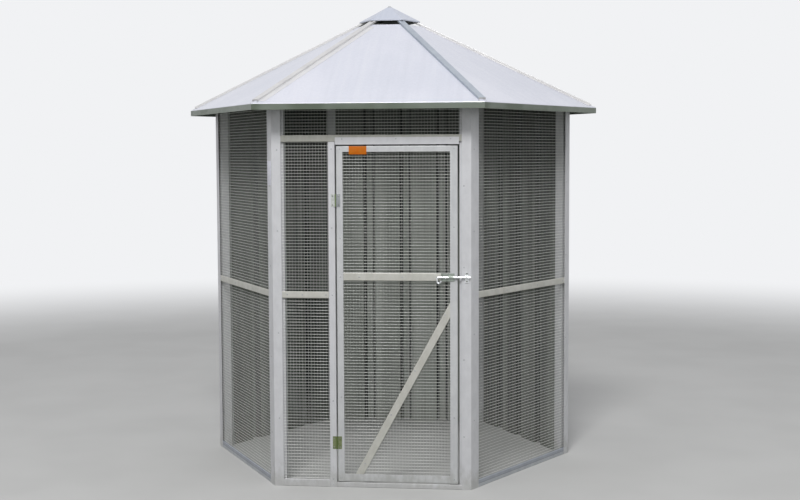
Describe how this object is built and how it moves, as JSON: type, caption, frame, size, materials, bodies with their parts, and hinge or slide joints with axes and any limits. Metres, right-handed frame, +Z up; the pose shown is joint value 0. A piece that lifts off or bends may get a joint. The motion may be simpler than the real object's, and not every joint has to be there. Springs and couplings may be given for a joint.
{
  "type": "hexagonal aviary",
  "caption": "Free-standing hexagonal steel aviary with wire-mesh front and sides, ribbed sheet back, vented pyramid roof and a braced, bolted access door.",
  "frame": {"origin": "centre of the plan hexagon on the ground, the bottom centre of the bounding box", "axes": "+Z up; the door faces -Y; +X is to the right as seen when facing the door"},
  "size_m": [1.8986, 1.6446, 2.0789],
  "materials": {
    "post_steel": "satin",
    "door_steel": "satin",
    "rail_steel": "satin",
    "base_steel": "satin",
    "roof_steel": "satin",
    "ridge_steel": "satin",
    "wall_steel": "satin",
    "wire_steel": "satin",
    "zinc_steel": "satin"
  },
  "bodies": {
    "frame": {"post_front_left": "post_steel", "post_front_right": "post_steel", "post_right": "post_steel", "post_back_right": "post_steel", "post_back_left": "post_steel", "post_left": "post_steel", "base_rail_front": "base_steel", "base_rail_front_right": "base_steel", "base_rail_back_right": "base_steel", "base_rail_back": "base_steel", "base_rail_back_left": "base_steel", "base_rail_front_left": "base_steel", "top_rail_front": "post_steel", "top_rail_front_right": "post_steel", "top_rail_back_right": "post_steel", "top_rail_back": "post_steel", "top_rail_back_left": "post_steel", "top_rail_front_left": "post_steel", "door_threshold": "base_steel", "mid_rail_front": "rail_steel", "mid_rail_front_right": "rail_steel", "mid_rail_front_left": "rail_steel", "door_mullion": "post_steel", "transom_rail": "rail_steel", "door_head_strip": "post_steel", "mesh_front": "wire_steel", "mesh_front_left": "wire_steel", "mesh_front_right": "wire_steel", "mesh_transom": "wire_steel", "wall_sheet_back_right": "wall_steel", "wall_sheet_back": "wall_steel", "wall_sheet_back_left": "wall_steel", "roof_sheet_front": "roof_steel", "roof_sheet_front_right": "roof_steel", "roof_sheet_back_right": "roof_steel", "roof_sheet_back": "roof_steel", "roof_sheet_back_left": "roof_steel", "roof_sheet_front_left": "roof_steel", "ridge_flashing_front_right": "ridge_steel", "ridge_flashing_right": "ridge_steel", "ridge_flashing_back_right": "ridge_steel", "ridge_flashing_back_left": "ridge_steel", "ridge_flashing_left": "ridge_steel", "ridge_flashing_front_left": "ridge_steel", "vent_cap": "roof_steel", "cap_bolt": "zinc_steel", "hinge_upper_frame_leaf": "zinc_steel", "hinge_lower_frame_leaf": "zinc_steel", "bolt_keeper": "zinc_steel"},
    "door": {"door_hinge_stile": "door_steel", "door_latch_stile": "door_steel", "door_top_rail": "door_steel", "door_bottom_rail": "door_steel", "door_mid_rail": "rail_steel", "door_brace": "rail_steel", "door_mesh": "wire_steel", "hinge_upper_door_leaf": "zinc_steel", "hinge_lower_door_leaf": "zinc_steel", "bolt_plate": "zinc_steel"},
    "bolt": {"bolt_rod": "zinc_steel"}
  },
  "joints": [
    {"name": "door_swing", "type": "hinge", "parent": "frame", "child": "door", "pos_m": [-0.147, -0.7225, 0.7], "axis": [0, 0, -1], "range_deg": [0, 170]},
    {"name": "bolt_slide", "type": "slide", "parent": "door", "child": "bolt", "axis": [-1, 0, 0], "range_m": [0, 0.035]}
  ]
}
